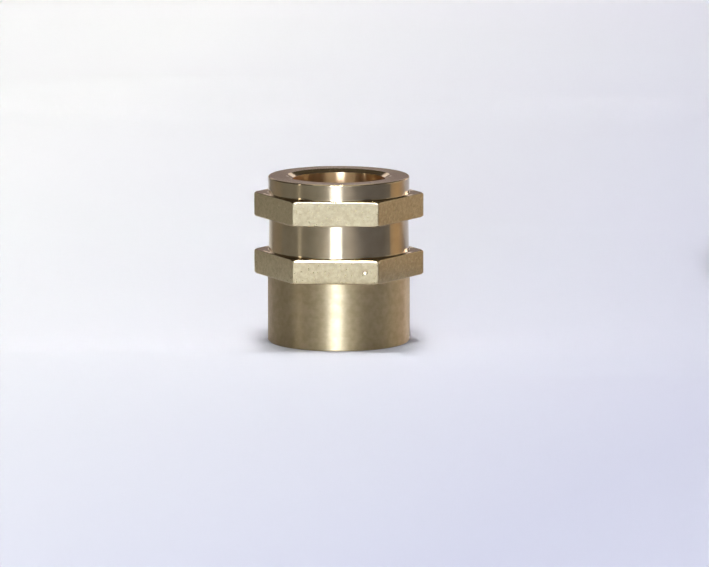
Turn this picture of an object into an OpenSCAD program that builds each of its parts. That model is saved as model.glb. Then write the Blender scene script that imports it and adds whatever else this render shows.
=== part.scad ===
// Brass insert turned from hexagonal bar, for a tapped outlet in a moulded plastic pipe fitting.
// A round body carries two ribs of the bar's own hexagon: they stop it turning or pulling out of
// the plastic. The bore runs straight through at the tapping size of a half-inch pipe thread, and
// both of its ends are countersunk.
// Millimetres, +Z up along the bore, origin at the middle of the base.

/* [Bar] */
// Across the flats of the hexagonal bar, and of both ribs
bar_af = 30; // [30:0.5:40]

/* [Heights, from the base up] */
// Barrel, from the base to the lower rib
barrel_h = 13.8; // [4:0.1:40]
// Lower rib
lower_rib_h = 5; // [2:0.1:12]
// Waist between the ribs
waist_h = 6.8; // [2:0.1:20]
// Upper rib
upper_rib_h = 5; // [2:0.1:12]
// Collar above the upper rib
collar_h = 3.4; // [2:0.1:12]

/* [Turned diameters] */
// Barrel
barrel_d = 29; // [24:0.1:29.8]
// Waist where it leaves the lower rib
waist_low_d = 28.7; // [24:0.1:29.8]
// Waist where it meets the upper rib, a little less because the tool gave way
waist_high_d = 28.4; // [24:0.1:29.8]
// Collar
collar_d = 28.8; // [24:0.1:29.8]

/* [Bore] */
// Bore, the tapping drill of the thread
bore_d = 19; // [10:0.1:19.5]
// Outside diameter of the thread that is tapped into the bore
thread_d = 20.955; // [19.5:0.005:26]
// How far the mouth at each end opens past the thread, on the radius
mouth_clearance = 0.2; // [0.05:0.05:0.8]
// Slope of both mouths from the end faces, 30 for a countersink of 120 degrees
mouth_slope = 30; // [15:1:60]

/* [Edges] */
// Round on the collar's outer edge
collar_round = 0.45; // [0.1:0.05:1]
// Chamfer round the barrel's foot
foot_chamfer = 0.3; // [0.1:0.05:1]
// Fillet that the tool's nose leaves against each rib
tool_nose = 0.2; // [0.05:0.05:0.4]
// How far the turned chamfer on each rib reaches in from the bar's corners
corner_reach = 0.45; // [0.05:0.01:1]
// Slope of that chamfer from the rib's face
corner_slope = 30; // [15:1:45]

/* [Hidden] */
$fn = 96;

// Cuts start and end this far outside the metal
past = 1;

// Levels of the shoulders
lower_rib_z = barrel_h;
waist_z = lower_rib_z + lower_rib_h;
upper_rib_z = waist_z + waist_h;
collar_z = upper_rib_z + upper_rib_h;
top_z = collar_z + collar_h;

// The bar's corners, and the turned ring that just clips them
corner_r = bar_af / 2 / cos(30);
clip_r = corner_r - corner_reach;
ring_r = corner_r + past;
ring_rise = (ring_r - clip_r) * tan(corner_slope);

// The bore's mouth at each end, and how much wider its cone is outside the metal
mouth_r = thread_d / 2 + mouth_clearance;
mouth_depth = (mouth_r - bore_d / 2) * tan(mouth_slope);
mouth_flare = past / tan(mouth_slope);

// The metal left in the angle between a square corner and a round of radius r
module spandrel(r) {
    difference() {
        square(r);
        translate([r, r]) circle(r);
    }
}

// A fillet at the foot of a wall of diameter d that stands on a rib, or hangs from one
module root(d, z, up) {
    translate([d / 2, z]) mirror([0, up ? 0 : 1]) spandrel(tool_nose);
}

// Half section of one rib, as wide as the bar and sloped back at both faces
module rib_section(z, h) {
    polygon([
        [0, z],
        [clip_r, z],
        [ring_r, z + ring_rise],
        [ring_r, z + h - ring_rise],
        [clip_r, z + h],
        [0, z + h]
    ]);
}

// Half section of the barrel, with its foot chamfered
module barrel_section() {
    r = barrel_d / 2;
    polygon([
        [0, 0],
        [r - foot_chamfer, 0],
        [r, foot_chamfer],
        [r, lower_rib_z + past],
        [0, lower_rib_z + past]
    ]);
}

// Half section of the waist, which narrows a little upwards between its two fillets
module waist_section() {
    polygon([
        [0, waist_z - past],
        [waist_low_d / 2, waist_z - past],
        [waist_low_d / 2, waist_z + tool_nose],
        [waist_high_d / 2, upper_rib_z - tool_nose],
        [waist_high_d / 2, upper_rib_z + past],
        [0, upper_rib_z + past]
    ]);
}

// Half section of the collar, with its outer edge rounded
module collar_section() {
    difference() {
        translate([0, collar_z - past]) square([collar_d / 2, collar_h + past]);
        translate([collar_d / 2, top_z]) rotate(180) spandrel(collar_round);
    }
}

// Everything that the lathe leaves, outside the bore
module turned() {
    rotate_extrude() {
        barrel_section();
        rib_section(lower_rib_z, lower_rib_h);
        waist_section();
        rib_section(upper_rib_z, upper_rib_h);
        collar_section();
        root(barrel_d, lower_rib_z, false);
        root(waist_low_d, waist_z, true);
        root(waist_high_d, upper_rib_z, false);
        root(collar_d, collar_z, true);
    }
}

// The hexagonal bar, with two flats facing along Y
module bar() {
    linear_extrude(top_z) circle(corner_r, $fn = 6);
}

// The bore, countersunk at both ends a little wider than the thread
module bore() {
    translate([0, 0, -past]) cylinder(d = bore_d, h = top_z + 2 * past);
    translate([0, 0, -past])
        cylinder(r1 = mouth_r + mouth_flare, r2 = bore_d / 2, h = mouth_depth + past);
    translate([0, 0, top_z - mouth_depth])
        cylinder(r1 = bore_d / 2, r2 = mouth_r + mouth_flare, h = mouth_depth + past);
}

module insert_body() {
    color("goldenrod") difference() {
        intersection() {
            bar();
            turned();
        }
        bore();
    }
}

insert_body();
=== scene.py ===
import math

import bmesh
import bpy
from mathutils import Matrix, Vector


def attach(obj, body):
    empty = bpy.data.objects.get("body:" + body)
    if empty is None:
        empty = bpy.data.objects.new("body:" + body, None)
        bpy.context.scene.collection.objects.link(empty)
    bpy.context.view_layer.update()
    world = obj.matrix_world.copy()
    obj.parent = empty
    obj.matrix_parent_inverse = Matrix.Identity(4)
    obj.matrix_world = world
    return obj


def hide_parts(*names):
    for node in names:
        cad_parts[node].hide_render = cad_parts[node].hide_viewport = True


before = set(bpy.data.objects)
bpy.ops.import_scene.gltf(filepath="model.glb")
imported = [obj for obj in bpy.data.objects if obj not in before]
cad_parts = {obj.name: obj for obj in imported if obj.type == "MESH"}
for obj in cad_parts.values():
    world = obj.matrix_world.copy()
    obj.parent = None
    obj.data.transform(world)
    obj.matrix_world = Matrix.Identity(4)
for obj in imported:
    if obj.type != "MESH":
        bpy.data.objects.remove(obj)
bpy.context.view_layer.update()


# ---- The turned body ----
# A brass insert that a plastic pipe fitting is moulded round, in one piece, turned from hexagonal
# bar. From the top: a rounded collar, a rib, the waist, a second rib and a long plain barrel.
# It is modelled in millimetres and brought to metres once the whole shape is done.
bar_flats = 30.0
barrel_top = 13.8
lower_rib_top = 18.8
waist_top = 25.6
upper_rib_top = 30.6
collar_top = 34.0
rib_faces = (barrel_top, lower_rib_top, waist_top, upper_rib_top)
barrel_r = 14.5
waist_low_r = 14.35
waist_high_r = 14.2
collar_r = 14.4
bore_r = 9.5
thread_r = 20.955 / 2
mouth_clearance = 0.2
mouth_r = thread_r + mouth_clearance
mouth_slope = math.tan(math.radians(30))
foot_chamfer = 0.3
fillet = 0.196
collar_round = 0.25
columns = 240

# the ribs start as full rings, sloped back at both faces so that only the bar's corners are clipped
corner_reach = 0.45
past_corner = 1
corner_r = bar_flats / 2 / math.cos(math.radians(30))
clip_r = corner_r - corner_reach
ring_r = corner_r + past_corner
ring_rise = (ring_r - clip_r) * math.tan(math.radians(30))

# the half section stops short in the bore and under the foot, where the thread is joined on
bore_end = 24.5
foot_end_r = 12.0
half_section = [
    (bore_r, bore_end),
    (bore_r, collar_top - (mouth_r - bore_r) * mouth_slope),
    (mouth_r, collar_top),
    (collar_r, collar_top),
    (collar_r, upper_rib_top),
    (clip_r, upper_rib_top),
    (ring_r, upper_rib_top - ring_rise),
    (ring_r, waist_top + ring_rise),
    (clip_r, waist_top),
    (waist_high_r, waist_top),
    (waist_high_r, waist_top - fillet),
    (waist_low_r, lower_rib_top + fillet),
    (waist_low_r, lower_rib_top),
    (clip_r, lower_rib_top),
    (ring_r, lower_rib_top - ring_rise),
    (ring_r, barrel_top + ring_rise),
    (clip_r, barrel_top),
    (barrel_r, barrel_top),
    (barrel_r, foot_chamfer),
    (barrel_r - foot_chamfer, 0),
    (foot_end_r, 0),
]
insert = bmesh.new()
turning_points = [insert.verts.new((r, 0, z)) for r, z in half_section]
for start, end in zip(turning_points, turning_points[1:]):
    insert.edges.new((start, end))
bmesh.ops.spin(
    insert, geom=insert.verts[:] + insert.edges[:], cent=(0, 0, 0), axis=(0, 0, 1),
    angle=math.tau, steps=columns, use_merge=True,
)
bmesh.ops.recalc_face_normals(insert, faces=insert.faces)
slack = 0.01


def ring_at(r, z):
    """The edges that run round the insert at this radius and height."""
    return [
        e for e in insert.edges
        if all(abs(v.co.xy.length - r) < slack and abs(v.co.z - z) < slack for v in e.verts)
    ]


bmesh.ops.bevel(
    insert, geom=ring_at(collar_r, collar_top), offset=collar_round,
    segments=5, profile=0.5, affect="EDGES", material=-1,
)
for r, z in (
    (collar_r, upper_rib_top), (waist_high_r, waist_top),
    (waist_low_r, lower_rib_top), (barrel_r, barrel_top),
):
    bmesh.ops.bevel(
        insert, geom=ring_at(r, z), offset=fillet,
        segments=3, profile=0.5, affect="EDGES", material=-1,
    )


# ---- The six flats on each rib ----
# The bar's own drawn faces, left standing where the lathe didn't reach. The full rings are cut
# back to the hexagon here, and the sharp outline of each flat is broken a little.
edge_break = 0.16
flat_area = 50
upright_lean = 0.01
on_plane = 0.0001
for side in range(6):
    angle = math.radians(30 + 60 * side)
    outward = Vector((math.cos(angle), math.sin(angle), 0))
    cut = bmesh.ops.bisect_plane(
        insert, geom=insert.verts[:] + insert.edges[:] + insert.faces[:], dist=on_plane,
        plane_co=outward * bar_flats / 2, plane_no=outward, clear_outer=True,
    )
    outline = [e for e in cut["geom_cut"] if isinstance(e, bmesh.types.BMEdge)]
    bmesh.ops.edgeloop_fill(insert, edges=outline)
# the waist's fillets end at the points where its wall starts, which are joined here
bmesh.ops.remove_doubles(insert, verts=insert.verts, dist=0.04)
insert.normal_update()
flats = [
    f for f in insert.faces if abs(f.normal.z) < upright_lean and f.calc_area() > flat_area
]
bmesh.ops.bevel(
    insert, geom=list(dict.fromkeys(e for f in flats for e in f.edges)), offset=edge_break,
    segments=2, profile=0.5, affect="EDGES", material=-1, clamp_overlap=False,
)


# ---- The nick ----
# A shallow dent in the lower rib's front flat, where something hard struck it. The blow left the
# metal in it bright.
nick_r = 0.6
nick_place = Vector((6.0, -bar_flats / 2, 16.43))
nick_rings = [(0.4, 0.045), (0.2, 0.08), (0.08, 0.09)]
facing_front = -0.99
struck_flat = next(
    f for f in insert.faces
    if f.normal.y < facing_front and f.calc_area() > flat_area
    and barrel_top < f.calc_center_median().z < lower_rib_top
)

# the flat is opened inside a border, and joined again round the nick's rim
bmesh.ops.inset_individual(insert, faces=[struck_flat], thickness=0.4, use_even_offset=True)
struck_outline = list(struck_flat.edges)
bmesh.ops.delete(insert, geom=[struck_flat], context="FACES_ONLY")
nick_turned = Matrix.Translation(nick_place) @ Matrix.Rotation(math.radians(90), 4, "X")
rim_verts = bmesh.ops.create_circle(
    insert, cap_ends=False, radius=nick_r, segments=20, matrix=nick_turned,
)["verts"]
nick_rim = list(dict.fromkeys(e for v in rim_verts for e in v.link_edges))
bmesh.ops.triangle_fill(
    insert, edges=struck_outline + nick_rim, use_beauty=True, normal=(0, -1, 0),
)

# each ring inside the rim is drawn from the last one, smaller and deeper
ring = nick_rim
last_r = nick_r
for smaller_r, deep in nick_rings:
    pressed = bmesh.ops.extrude_edge_only(insert, edges=ring)["geom"]
    inner = [v for v in pressed if isinstance(v, bmesh.types.BMVert)]
    ring = [
        e for e in pressed
        if isinstance(e, bmesh.types.BMEdge) and all(v in inner for v in e.verts)
    ]
    for v in inner:
        v.co = nick_place + (v.co - nick_place) * (smaller_r / last_r)
        v.co.y = nick_place.y + deep
    last_r = smaller_r
bmesh.ops.edgeloop_fill(insert, edges=ring)


# ---- The tapped thread ----
# A half-inch pipe thread, 14 to the inch with 55 degree flanks and rounded roots, tapped from the
# base. The drilled bore is its crest. It runs out over the tap's lead, and the bore is plain above.
pitch = 25.4 / 14
standard_round = 0.1373
root_round = standard_round * pitch
flank_angle = math.radians(27.5)
root_turns = [math.radians(turn) for turn in (48.3, 90, 131.7)]
flank_steps = 3
full_thread_top = 20.0
last_thread_top = 22.7
thread_end = 23.5
turns_below = 2

flank_end_r = thread_r - root_round * (1 - math.sin(flank_angle))
flank_rise = (flank_end_r - bore_r) * math.tan(flank_angle)
crest = pitch - 2 * flank_rise - 2 * root_round * math.cos(flank_angle)
root_z = (pitch + crest) / 2
tooth = [(bore_r, 0), (bore_r, crest / 2)]
tooth += [
    (bore_r + (flank_end_r - bore_r) * k / flank_steps, crest + flank_rise * k / flank_steps)
    for k in range(flank_steps + 1)
]
tooth += [
    (thread_r - root_round * (1 - math.sin(turn)), root_z - root_round * math.cos(turn))
    for turn in root_turns
]
tooth += [
    (bore_r + (flank_end_r - bore_r) * k / flank_steps, pitch - flank_rise * k / flank_steps)
    for k in range(flank_steps, -1, -1)
]

thread = bmesh.new()
tooth_points = [thread.verts.new((r, 0, z - turns_below * pitch)) for r, z in tooth]
for start, end in zip(tooth_points, tooth_points[1:]):
    thread.edges.new((start, end))
bmesh.ops.spin(
    thread, geom=thread.verts[:] + thread.edges[:], cent=(0, 0, 0), axis=(0, 0, 1),
    dvec=(0, 0, pitch / columns), angle=math.tau, steps=columns,
)
one_turn = thread.verts[:] + thread.edges[:] + thread.faces[:]
for turn in range(1, math.ceil(thread_end / pitch) + turns_below + 1):
    higher = bmesh.ops.duplicate(thread, geom=one_turn)["geom"]
    bmesh.ops.translate(
        thread, vec=(0, 0, turn * pitch),
        verts=[v for v in higher if isinstance(v, bmesh.types.BMVert)],
    )
bmesh.ops.remove_doubles(thread, verts=thread.verts, dist=0.001)


def meet_cone(apex_z, slope, wall):
    """Scores the thread along the cone r = slope * (apex_z - z), then lets wall place each point.

    wall is given the point's radius and the cone's radius there, and gives the radius to use.
    """
    for v in thread.verts:
        v.co.z += v.co.xy.length / slope
    bmesh.ops.bisect_plane(
        thread, geom=thread.verts[:] + thread.edges[:] + thread.faces[:], dist=on_plane,
        plane_co=(0, 0, apex_z), plane_no=(0, 0, 1),
    )
    for v in thread.verts:
        r = v.co.xy.length
        v.co.z -= r / slope
        v.co.xy *= wall(r, slope * (apex_z - v.co.z)) / r


lead_slope = (thread_r - bore_r) / (last_thread_top - full_thread_top)
meet_cone(mouth_r * mouth_slope, 1 / mouth_slope, max)
meet_cone(
    last_thread_top + bore_r / lead_slope, lead_slope,
    lambda r, cone: max(bore_r, min(r, cone)),
)
for z, keep in ((0, 1), (thread_end, -1)):
    bmesh.ops.bisect_plane(
        thread, geom=thread.verts[:] + thread.edges[:] + thread.faces[:], dist=on_plane,
        plane_co=(0, 0, z), plane_no=(0, 0, keep), clear_inner=True,
    )
bmesh.ops.remove_doubles(thread, verts=thread.verts, dist=0.002)

thread_mesh = bpy.data.meshes.new("thread")
thread.to_mesh(thread_mesh)
thread.free()
insert.from_mesh(thread_mesh)
bpy.data.meshes.remove(thread_mesh)

# the foot's flat ring joins the thread below, and a short plain band joins it above
for low, high in ((0, 0), (thread_end, bore_end)):
    bmesh.ops.bridge_loops(insert, edges=[
        e for e in insert.edges
        if e.is_boundary and all(low - slack < v.co.z < high + slack for v in e.verts)
    ])
bmesh.ops.recalc_face_normals(insert, faces=insert.faces)


# ---- The brass ----
# Free-cutting brass, left bright by a fine tool on the collar, the waist and both end faces, and
# dull on the barrel. The lathe's marks run round the insert, so its highlights stand upright. The
# flats keep the bar's drawn grain. The drilled bore is painted brighter and redder, as painted
# light that stands in for the light reflected round inside it.
def brass(name, tone, shade, patches, roughness, anisotropy, lay, grain, depth, pits):
    """A brass finish. tone and shade are its two colours, and patches is how close they mix.

    anisotropy is how far its highlight is drawn out, and lay which way: a quarter turn is upright.
    grain is how closely its marks run outwards, round and up, and depth how deep they are, in
    metres. pits is the depth of the fine speckle over them.
    """
    material = bpy.data.materials.new(name)
    material.use_nodes = True
    nodes, links = material.node_tree.nodes, material.node_tree.links
    shader = nodes["Principled BSDF"]
    shader.inputs["Metallic"].default_value = 1
    shader.inputs["Anisotropic"].default_value = anisotropy
    shader.inputs["Anisotropic Rotation"].default_value = lay

    place = nodes.new("ShaderNodeTexCoord")
    millimetres = nodes.new("ShaderNodeVectorMath")
    millimetres.operation = "SCALE"
    millimetres.inputs["Scale"].default_value = 1000
    links.new(place.outputs["Object"], millimetres.inputs[0])

    # the direction of the lathe's marks, round the bore's axis
    around = nodes.new("ShaderNodeVectorMath")
    around.operation = "CROSS_PRODUCT"
    around.inputs[0].default_value = (0, 0, 1)
    links.new(millimetres.outputs[0], around.inputs[1])
    links.new(around.outputs[0], shader.inputs["Tangent"])

    # coordinates that follow the marks: distance from the axis, angle round it, height
    apart = nodes.new("ShaderNodeSeparateXYZ")
    links.new(millimetres.outputs[0], apart.inputs[0])
    flat = nodes.new("ShaderNodeVectorMath")
    flat.operation = "MULTIPLY"
    flat.inputs[1].default_value = (1, 1, 0)
    links.new(millimetres.outputs[0], flat.inputs[0])
    radius = nodes.new("ShaderNodeVectorMath")
    radius.operation = "LENGTH"
    links.new(flat.outputs[0], radius.inputs[0])
    turn = nodes.new("ShaderNodeMath")
    turn.operation = "ARCTAN2"
    links.new(apart.outputs["Y"], turn.inputs[0])
    links.new(apart.outputs["X"], turn.inputs[1])
    follow = nodes.new("ShaderNodeCombineXYZ")
    links.new(radius.outputs["Value"], follow.inputs["X"])
    links.new(turn.outputs[0], follow.inputs["Y"])
    links.new(apart.outputs["Z"], follow.inputs["Z"])

    marks = nodes.new("ShaderNodeTexNoise")
    marks.inputs["Scale"].default_value = 1
    marks.inputs["Detail"].default_value = 4
    stretch = nodes.new("ShaderNodeVectorMath")
    stretch.operation = "MULTIPLY"
    stretch.inputs[1].default_value = grain
    links.new(follow.outputs[0], stretch.inputs[0])
    links.new(stretch.outputs[0], marks.inputs["Vector"])
    bump = nodes.new("ShaderNodeBump")
    bump.inputs["Strength"].default_value = 1
    bump.inputs["Distance"].default_value = depth
    links.new(marks.outputs["Fac"], bump.inputs["Height"])
    speckle = nodes.new("ShaderNodeTexNoise")
    speckle.inputs["Scale"].default_value = 3.5
    speckle.inputs["Detail"].default_value = 2
    links.new(millimetres.outputs[0], speckle.inputs["Vector"])
    fine = nodes.new("ShaderNodeBump")
    fine.inputs["Strength"].default_value = 1
    fine.inputs["Distance"].default_value = pits
    links.new(speckle.outputs["Fac"], fine.inputs["Height"])
    links.new(bump.outputs["Normal"], fine.inputs["Normal"])
    links.new(fine.outputs["Normal"], shader.inputs["Normal"])

    cloud = nodes.new("ShaderNodeTexNoise")
    cloud.inputs["Scale"].default_value = patches
    cloud.inputs["Detail"].default_value = 5
    links.new(millimetres.outputs[0], cloud.inputs["Vector"])
    tones = nodes.new("ShaderNodeValToRGB")
    tones.color_ramp.elements[0].position = 0.35
    tones.color_ramp.elements[0].color = (*shade, 1)
    tones.color_ramp.elements[1].position = 0.65
    tones.color_ramp.elements[1].color = (*tone, 1)
    links.new(cloud.outputs["Fac"], tones.inputs["Fac"])
    links.new(tones.outputs["Color"], shader.inputs["Base Color"])

    uneven = 0.08
    polish = nodes.new("ShaderNodeMapRange")
    polish.inputs["From Min"].default_value = 0.3
    polish.inputs["From Max"].default_value = 0.7
    polish.inputs["To Min"].default_value = roughness * (1 - uneven)
    polish.inputs["To Max"].default_value = roughness * (1 + uneven)
    links.new(marks.outputs["Fac"], polish.inputs["Value"])
    links.new(polish.outputs[0], shader.inputs["Roughness"])
    return material


upright_lay, level_lay = 0.25, 0.0
polished = brass(
    "brass_polished", tone=(0.60, 0.475, 0.29), shade=(0.54, 0.42, 0.25), patches=0.35,
    roughness=0.13, anisotropy=0.7, lay=upright_lay,
    grain=(4, 0.5, 4), depth=0.000003, pits=0.0000006,
)
satin = brass(
    "brass_satin", tone=(0.61, 0.485, 0.285), shade=(0.53, 0.415, 0.232), patches=0.8,
    roughness=0.52, anisotropy=0.93, lay=upright_lay,
    grain=(5, 1.5, 5), depth=0.00001, pits=0.000004,
)
drawn = brass(
    "brass_drawn", tone=(0.63, 0.52, 0.3), shade=(0.52, 0.42, 0.235), patches=1.5,
    roughness=0.26, anisotropy=0.9, lay=level_lay,
    grain=(3, 30, 1.5), depth=0.00001, pits=0.000002,
)
faced = brass(
    "brass_faced", tone=(0.60, 0.48, 0.30), shade=(0.54, 0.43, 0.27), patches=0.35,
    roughness=0.12, anisotropy=0.9, lay=upright_lay,
    grain=(4, 0.5, 4), depth=0.000002, pits=0.0000006,
)
# painted light: the bore's colours are brighter and redder than the rest of the brass, in place of
# light reflected round inside the bore
bore_painted_bright = brass(
    "brass_bore_painted_bright", tone=(0.86, 0.58, 0.32), shade=(0.76, 0.5, 0.27), patches=0.5,
    roughness=0.34, anisotropy=1.0, lay=upright_lay,
    grain=(4, 1.5, 4), depth=0.00001, pits=0.000001,
)

# each face takes the finish of the tool that cut it, and sharp corners stay sharp
finishes = [polished, satin, drawn, faced, bore_painted_bright]
mouth_lean = 0.8
level_lean = 0.95
margin = 0.05
sharp_corner = math.radians(50)
for face in insert.faces:
    middle = face.calc_center_median()
    across = middle.xy.length
    lean = abs(face.normal.z)
    if across < mouth_r and lean < mouth_lean:
        finish = bore_painted_bright
    elif lean > level_lean:
        finish = faced
    elif lean < upright_lean and across > barrel_r + margin:
        finish = drawn
    elif across > mouth_r and middle.z < barrel_top - margin:
        finish = satin
    else:
        finish = polished
    face.material_index = finishes.index(finish)
    face.smooth = True
for edge in insert.edges:
    edge.smooth = edge.calc_face_angle() < sharp_corner
mouth_rings = ring_at(mouth_r, 0) + ring_at(mouth_r, collar_top)
clip_rings = [e for z in rib_faces for e in ring_at(clip_r, z)]
for edge in mouth_rings + clip_rings + nick_rim:
    edge.smooth = False

bmesh.ops.scale(insert, vec=(0.001, 0.001, 0.001), verts=insert.verts)
insert_mesh = bpy.data.meshes.new("brass_insert")
insert.to_mesh(insert_mesh)
insert.free()
for finish in finishes:
    insert_mesh.materials.append(finish)
piece = bpy.data.objects.new("brass_insert", insert_mesh)
bpy.context.scene.collection.objects.link(piece)
shading = piece.modifiers.new("even_shading", "WEIGHTED_NORMAL")
shading.keep_sharp = True
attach(piece, "root")
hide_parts("insert_body")


# ---- The floor ----
# A plain sheet of matt paper, laid flat with the insert stood on it. It is white, with painted
# shade that darkens it to a faint lavender on the right and towards its front edge.
floor_mesh = bpy.data.meshes.new("floor")
sheet = bmesh.new()
half_width = 3
under_foot = 0.00003
bmesh.ops.create_grid(sheet, x_segments=1, y_segments=1, size=half_width)
bmesh.ops.translate(sheet, vec=(0, 0, -under_foot), verts=sheet.verts)
sheet.to_mesh(floor_mesh)
sheet.free()
floor = bpy.data.objects.new("floor", floor_mesh)
bpy.context.scene.collection.objects.link(floor)

paper = bpy.data.materials.new("pale_floor")
paper.use_nodes = True
nodes, links = paper.node_tree.nodes, paper.node_tree.links
shader = nodes["Principled BSDF"]
shader.inputs["Roughness"].default_value = 0.6
shader.inputs["Specular IOR Level"].default_value = 0.15
place = nodes.new("ShaderNodeTexCoord")
rightwards = nodes.new("ShaderNodeVectorMath")
rightwards.operation = "DOT_PRODUCT"
rightwards.inputs[1].default_value = (4.48, -0.385, 0)
links.new(place.outputs["Object"], rightwards.inputs[0])
from_middle = nodes.new("ShaderNodeMath")
from_middle.operation = "ADD"
from_middle.inputs[1].default_value = 0.535
links.new(rightwards.outputs["Value"], from_middle.inputs[0])
forwards = nodes.new("ShaderNodeVectorMath")
forwards.operation = "DOT_PRODUCT"
forwards.inputs[1].default_value = (0, -1.0, 0)
links.new(place.outputs["Object"], forwards.inputs[0])
in_front = nodes.new("ShaderNodeMath")
in_front.operation = "MAXIMUM"
in_front.inputs[1].default_value = 0
links.new(forwards.outputs["Value"], in_front.inputs[0])
total = nodes.new("ShaderNodeMath")
total.operation = "ADD"
links.new(from_middle.outputs[0], total.inputs[0])
links.new(in_front.outputs[0], total.inputs[1])
# painted shade: the paper's colour darkens towards the right and the front, in place of light
# falling off
painted_falloff = nodes.new("ShaderNodeValToRGB")
painted_falloff.color_ramp.elements[0].color = (0.95, 0.95, 0.955, 1)
painted_falloff.color_ramp.elements[1].color = (0.62, 0.625, 0.755, 1)
links.new(total.outputs[0], painted_falloff.inputs["Fac"])
links.new(painted_falloff.outputs["Color"], shader.inputs["Base Color"])
floor_mesh.materials.append(paper)


# ---- The camera ----
# A long lens on a stand, a little above the insert and a touch to its right, looking at half its
# height. The lens is shifted a little on its mount, to place the insert within the view.
view_turn = 2.7
view_height = 8.67
view_distance = 1.3
aim = Vector((0, 0, 0.017))
camera_data = bpy.data.cameras.new("camera")
camera_data.lens = 323
camera_data.sensor_width = 36
camera_data.shift_x = 0.0221
camera_data.shift_y = -0.0362
camera = bpy.data.objects.new("camera", camera_data)
bpy.context.scene.collection.objects.link(camera)
bpy.context.scene.camera = camera


def towards(turn, height):
    """A unit step from the insert, turned from the front towards the right and raised."""
    turn, height = math.radians(turn), math.radians(height)
    return Vector((
        math.sin(turn) * math.cos(height), -math.cos(turn) * math.cos(height), math.sin(height),
    ))


camera.location = aim + towards(view_turn, view_height) * view_distance
camera.rotation_euler = (aim - camera.location).to_track_quat("-Z", "Y").to_euler()


# ---- The lamps ----
# Softboxes stand round the insert, a bright one in front and dimmer ones beside and behind it, and
# the turned walls mirror each as a band. Gridded ones hang flat over the floor, with a soft one
# over the insert, and two small warm cards glow low behind it. The room round them all is dim.
def softbox(name, wide, tall, level, colour=(1, 1, 1), spread=180):
    """A softbox of this size and level, which a grid can keep to a narrower spread."""
    light = bpy.data.lights.new(name, "AREA")
    light.shape = "RECTANGLE"
    light.size = wide
    light.size_y = tall
    light.spread = math.radians(spread)
    light.energy = level * math.pi * wide * tall
    light.color = colour
    lamp = bpy.data.objects.new(name, light)
    bpy.context.scene.collection.objects.link(lamp)
    return lamp


def face_insert(lamp, turn, distance, height):
    """Stands a lamp upright at this turn from the camera's line, facing the insert."""
    lamp.location = towards(view_turn + turn, 0) * distance + Vector((0, 0, height))
    lamp.rotation_euler = towards(view_turn + turn, 0).to_track_quat("Z", "Y").to_euler()


def upright(name, turn, width, low, high, level, colour=(1, 1, 1)):
    """A far softbox. Its width and its two edges' heights are in degrees, seen from the insert."""
    distance = 1.6
    bottom = distance * math.tan(math.radians(low))
    top = distance * math.tan(math.radians(high))
    wide = 2 * distance * math.tan(math.radians(width) / 2)
    lamp = softbox(name, wide, top - bottom, level, colour)
    face_insert(lamp, turn, distance, (bottom + top) / 2)


upright("key", -4.5, 17, 1, 10, 72.0, (0.64, 0.75, 1))
upright("window", -4, 80, 16, 34, 1.8, (0.88, 0.98, 1))
upright("right_bump", 20, 14, 1, 10, 1.2)
upright("right_fill", 72, 36, 1, 10, 0.3)
upright("left_sliver", -67, 2.5, 1, 10, 16)
upright("right_band", 100, 34, 1, 10, 1.7, (1, 0.95, 0.85))
upright("right_pink", 130, 26, 1, 10, 1.5, (1, 0.8, 0.75))
upright("right_edge", 145, 14, 1, 10, 4, (1, 0.9, 0.9))
upright("left_edge", -145, 22, 1, 10, 0.7, (1, 0.92, 0.9))
upright("horizon", 180, 44, 0.5, 5.5, 0.9, (1, 0.9, 0.85))
upright("behind", 180, 44, 5.5, 16, 0.25, (1, 0.8, 0.75))
upright("behind_high", 180, 50, 16, 27, 1.1, (1, 0.92, 0.95))

lamp_height = 0.06
pool_level = 0.81
pool_spread = 13


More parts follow.
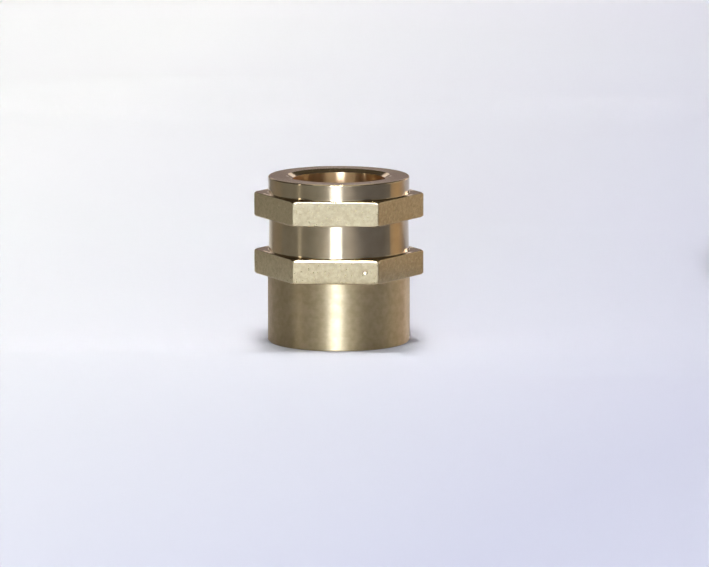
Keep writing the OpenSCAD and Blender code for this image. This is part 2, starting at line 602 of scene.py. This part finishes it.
def overhead(name, left, right, near, far, level=pool_level, spread=pool_spread):
    """A flat softbox over the floor, between these distances to the right and to the back."""
    lamp = softbox(name, right - left, far - near, level, spread=spread)
    lamp.location = (
        towards(view_turn + 90, 0) * (left + right) / 2
        + towards(view_turn + 180, 0) * (near + far) / 2
        + Vector((0, 0, lamp_height))
    )
    lamp.rotation_euler = (0, 0, math.radians(view_turn))


# the near pool is in four parts round a gap over the insert, so that its top mirrors only the soft
# lamp that hangs in the gap
beside = 0.0825
gap = 0.0155
overhead("pool_near_front", -beside, beside, -0.30, -gap)
overhead("pool_near_left", -beside, -gap, -gap, gap)
overhead("pool_near_right", gap, beside, -gap, gap)
overhead("pool_near_back", -beside, beside, gap, 0.12)
overhead("pool_middle", -0.105, 0.2, 0.12, 0.40)
overhead("pool_far", -0.13, 0.2, 0.40, 0.80)
overhead("over_insert", -gap, gap, -gap, gap, level=1.2, spread=180)


def card(name, turn, level, colour):
    """A small glowing card, low beside the insert, that the turned walls and the flats mirror."""
    wide, tall, spread = 0.085, 0.026, 60
    # a grid of this spread makes a lamp brighter head on, and the level allows for that
    head_on = 10.6
    lamp = softbox(name, wide, tall, level / head_on, colour, spread)
    face_insert(lamp, turn, distance=0.1, height=0.0135)


card("right_card", 111, 0.52, (1, 0.64, 0.24))
card("left_card", -125, 0.1, (1, 0.66, 0.25))

# the room is dark low down, where the walls mirror it, and dim above
world = bpy.data.worlds.new("studio")
world.use_nodes = True
nodes, links = world.node_tree.nodes, world.node_tree.links
sky = nodes["Background"]
sky.inputs["Strength"].default_value = 1
direction = nodes.new("ShaderNodeTexCoord")
upwards = nodes.new("ShaderNodeSeparateXYZ")
links.new(direction.outputs["Generated"], upwards.inputs[0])
dome = nodes.new("ShaderNodeValToRGB")
dome.color_ramp.elements[0].position = 0.2
dome.color_ramp.elements[0].color = (0.025, 0.023, 0.022, 1)
dome.color_ramp.elements[1].position = 0.34
dome.color_ramp.elements[1].color = (0.09, 0.08, 0.066, 1)
links.new(upwards.outputs["Z"], dome.inputs["Fac"])
links.new(dome.outputs["Color"], sky.inputs["Color"])
bpy.context.scene.world = world
bpy.context.scene.view_settings.view_transform = "Standard"
